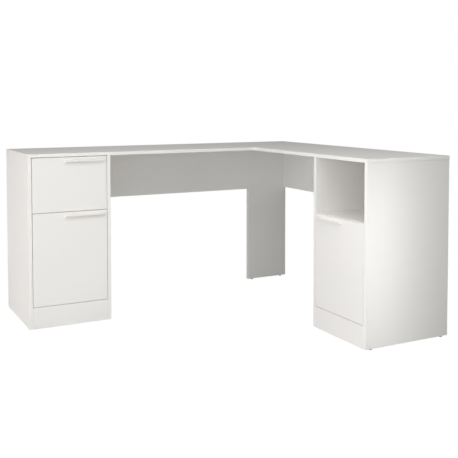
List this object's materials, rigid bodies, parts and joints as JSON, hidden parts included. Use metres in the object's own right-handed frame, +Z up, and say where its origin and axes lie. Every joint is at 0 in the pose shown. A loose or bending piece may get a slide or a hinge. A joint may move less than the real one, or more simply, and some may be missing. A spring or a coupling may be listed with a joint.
{
  "type": "corner desk",
  "caption": "White L-shaped corner desk with a drawer-and-door pedestal, an open-niche pedestal with a door, aprons and a corner leg.",
  "frame": {"origin": "on the floor, in the middle of the desk's rectangular footprint", "axes": "+X along the main wing towards the return wing, +Y towards the wall behind the main wing, +Z up"},
  "size_m": [1.505, 1.29, 0.745],
  "materials": {
    "white_laminate": "white melamine on particle board, satin, edge-banded",
    "white_hardboard": "thin hardboard, painted white",
    "white_plastic": "moulded white plastic, satin",
    "zinc_steel": "bright zinc-plated pressed steel",
    "screw_steel": "zinc-plated screws",
    "cam_zinc": "die-cast zinc",
    "beech_dowel": "plain turned beech",
    "glide_plastic": "moulded grey plastic"
  },
  "bodies": {
    "desk": {"main_top": "white_laminate", "return_top": "white_laminate", "main_apron": "white_laminate", "return_apron": "white_laminate", "corner_leg": "white_laminate", "left_outer_side": "white_laminate", "left_inner_side": "white_laminate", "left_divider": "white_laminate", "left_bottom": "white_laminate", "left_plinth": "white_laminate", "right_end_panel": "white_laminate", "right_inner_side": "white_laminate", "niche_shelf": "white_laminate", "right_bottom": "white_laminate", "right_plinth": "white_laminate", "left_back": "white_hardboard", "right_back": "white_hardboard", "left_runner_cabinet_rail": "zinc_steel", "right_runner_cabinet_rail": "zinc_steel", "left_hinge_arms": "zinc_steel", "left_hinge_plates": "zinc_steel", "right_hinge_arms": "zinc_steel", "right_hinge_plates": "zinc_steel", "joining_plates": "zinc_steel", "joining_plate_screws": "screw_steel", "cabinet_rail_screws": "screw_steel", "left_hinge_plate_screws": "screw_steel", "right_hinge_plate_screws": "screw_steel", "cam_locks": "cam_zinc", "cam_bolts": "cam_zinc", "wood_dowels": "beech_dowel", "floor_glides": "glide_plastic"},
    "drawer": {"drawer_front": "white_laminate", "drawer_left_side": "white_laminate", "drawer_right_side": "white_laminate", "drawer_back": "white_laminate", "drawer_bottom": "white_hardboard", "drawer_handle": "white_plastic", "drawer_handle_screws": "screw_steel", "drawer_dowels": "beech_dowel", "drawer_rail_screws": "screw_steel", "left_runner_drawer_rail": "zinc_steel", "right_runner_drawer_rail": "zinc_steel"},
    "left_runner_slide": {"left_runner_slide": "zinc_steel"},
    "right_runner_slide": {"right_runner_slide": "zinc_steel"},
    "left_door": {"left_door": "white_laminate", "left_door_handle": "white_plastic", "left_door_handle_screws": "screw_steel", "left_hinge_cups": "zinc_steel", "left_hinge_pins": "zinc_steel", "left_hinge_cup_screws": "screw_steel"},
    "right_door": {"right_door": "white_laminate", "right_door_handle": "white_plastic", "right_door_handle_screws": "screw_steel", "right_hinge_cups": "zinc_steel", "right_hinge_pins": "zinc_steel", "right_hinge_cup_screws": "screw_steel"}
  },
  "joints": [
    {"name": "drawer_slide", "type": "slide", "parent": "desk", "child": "drawer", "axis": [0, -1, 0], "range_m": [0, 0.3]},
    {"name": "left_runner_travel", "type": "slide", "parent": "desk", "child": "left_runner_slide", "axis": [0, -1, 0], "range_m": [0, 0.15]},
    {"name": "right_runner_travel", "type": "slide", "parent": "desk", "child": "right_runner_slide", "axis": [0, -1, 0], "range_m": [0, 0.15]},
    {"name": "left_door_hinge", "type": "hinge", "parent": "desk", "child": "left_door", "pos_m": [-0.72685, 0.2305, 0.295], "axis": [0, 0, -1], "range_deg": [0, 100]},
    {"name": "right_door_hinge", "type": "hinge", "parent": "desk", "child": "right_door", "pos_m": [0.338, -0.61785, 0.295], "axis": [0, 0, 1], "range_deg": [0, 100]}
  ],
  "couplings": [
    {"joint": "left_runner_travel", "follows": "drawer_slide", "ratio": 0.5},
    {"joint": "right_runner_travel", "follows": "drawer_slide", "ratio": 0.5}
  ]
}
